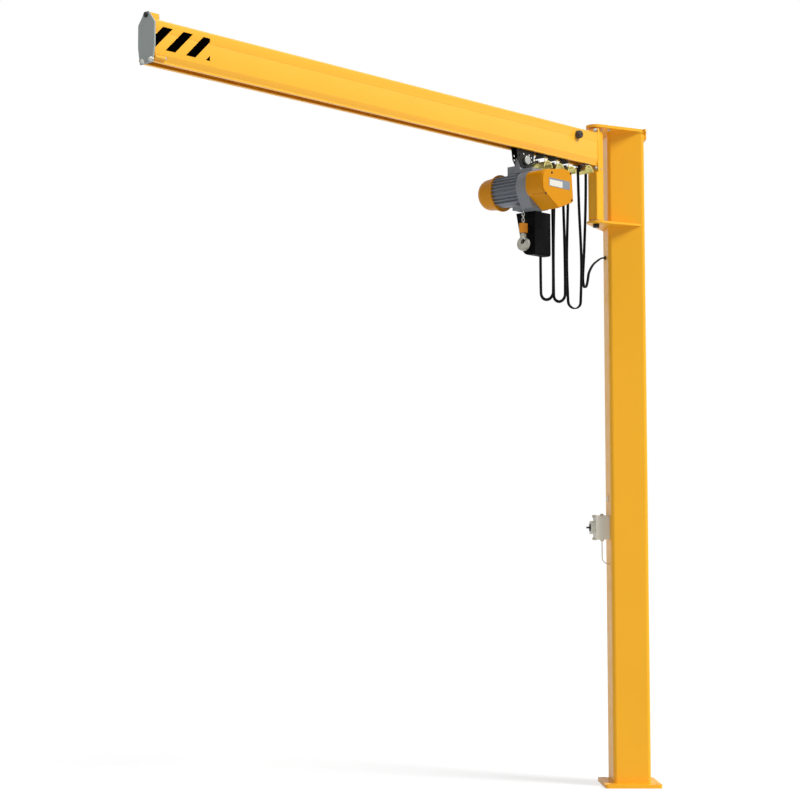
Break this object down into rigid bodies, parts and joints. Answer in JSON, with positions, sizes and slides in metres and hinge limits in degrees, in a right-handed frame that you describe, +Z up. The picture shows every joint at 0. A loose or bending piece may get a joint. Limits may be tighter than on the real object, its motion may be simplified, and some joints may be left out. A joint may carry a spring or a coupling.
{
  "type": "column-mounted jib crane with electric chain hoist",
  "caption": "Free-standing slewing jib crane: square column, enclosed-track jib, travelling electric chain hoist, festoon cable and isolator switch.",
  "frame": {"origin": "centre of the base plate's underside, on the floor", "axes": "+Z up the column; the jib points along -X at rest and the column's square section stands turned 45 degrees, so that its corners lie on X and Y"},
  "size_m": [3.5559, 0.465, 3.53],
  "materials": {
    "yellow_paint": "semi-gloss powder coat",
    "end_plate_grey": "matt paint",
    "zinc_steel": "zinc plated",
    "dark_steel": "black finish, satin",
    "saddle_zinc": "yellow passivated steel, satin",
    "gearbox_grey": "satin paint on a casting",
    "motor_grey": "satin paint on a finned casting",
    "hoist_yellow": "semi-gloss paint",
    "black_plastic": "matt",
    "switch_grey": "matt",
    "pale_wire": "matt",
    "black_rubber": "matt"
  },
  "bodies": {
    "column": {"base_plate": "yellow_paint", "column_tube": "yellow_paint", "top_plate": "yellow_paint", "lower_plate": "yellow_paint", "top_strap": "yellow_paint", "upper_pin": "zinc_steel", "lower_pin": "dark_steel", "thrust_washer": "yellow_paint", "cable_grommet": "black_rubber", "switch_box": "switch_grey", "switch_plate": "switch_grey", "switch_glands": "switch_grey", "wall_plug": "switch_grey", "switch_wire": "pale_wire", "supply_cable": "black_rubber"},
    "switch_knob": {"switch_knob": "black_plastic"},
    "jib": {"slew_post": "yellow_paint", "jib_flange": "yellow_paint", "jib_profile": "yellow_paint", "tip_plate": "end_plate_grey", "tip_bosses": "yellow_paint", "buffer_left": "black_rubber", "buffer_right": "black_rubber", "end_clamp": "dark_steel", "end_saddle": "saddle_zinc", "loop_c": "black_rubber"},
    "carrier_c": {"carrier_c": "dark_steel", "saddle_c": "saddle_zinc", "loop_b": "black_rubber"},
    "carrier_b": {"carrier_b": "dark_steel", "saddle_b": "saddle_zinc", "loop_a": "black_rubber"},
    "trolley": {"trolley_frame": "dark_steel", "trolley_wheels": "zinc_steel", "load_bar": "zinc_steel", "suspension_lugs": "dark_steel", "hoist_gearbox": "gearbox_grey", "gear_cover": "hoist_yellow", "motor_housing": "motor_grey", "brake_cover": "hoist_yellow", "terminal_box": "motor_grey", "chain_container": "black_plastic", "tow_carrier": "dark_steel", "tow_saddle": "saddle_zinc", "load_chain": "zinc_steel", "hoist_lead": "black_rubber"},
    "hook_block": {"hook_sleeve": "hoist_yellow"},
    "hook": {"load_hook": "zinc_steel"},
    "latch": {"hook_latch": "zinc_steel"}
  },
  "joints": [
    {"name": "jib_slew", "type": "hinge", "parent": "column", "child": "jib", "pos_m": [-0.25, 0, 3.25], "axis": [0, 0, 1], "range_deg": [-130, 130], "deforming": ["supply_cable"]},
    {"name": "carrier_c_slide", "type": "slide", "parent": "jib", "child": "carrier_c", "axis": [-1, 0, 0], "range_m": [0, 0.78], "deforming": ["loop_c"]},
    {"name": "carrier_b_slide", "type": "slide", "parent": "carrier_c", "child": "carrier_b", "axis": [-1, 0, 0], "range_m": [0, 0.78], "deforming": ["loop_b"]},
    {"name": "trolley_travel", "type": "slide", "parent": "carrier_b", "child": "trolley", "axis": [-1, 0, 0], "range_m": [0, 0.78], "deforming": ["loop_a"]},
    {"name": "hook_lift", "type": "slide", "parent": "trolley", "child": "hook_block", "axis": [0, 0, 1], "range_m": [-2.6, 0], "deforming": ["load_chain"]},
    {"name": "hook_swivel", "type": "hinge", "parent": "hook_block", "child": "hook", "pos_m": [-0.869, 0, 2.87], "axis": [0, 0, 1], "continuous": true},
    {"name": "hook_latch", "type": "hinge", "parent": "hook", "child": "latch", "pos_m": [-0.869, -0.006, 2.855], "axis": [1, 0, 0], "range_deg": [0, 40], "stiffness_Nm_per_rad": 0.05, "springref_deg": -17.19},
    {"name": "switch_turn", "type": "hinge", "parent": "column", "child": "switch_knob", "pos_m": [-0.14001, 0.14001, 1.373], "axis": [-0.7071, 0.7071, 0], "range_deg": [0, 90]}
  ],
  "couplings": [
    {"joint": "carrier_c_slide", "follows": "trolley_travel", "ratio": 1},
    {"joint": "carrier_b_slide", "follows": "trolley_travel", "ratio": 1}
  ]
}
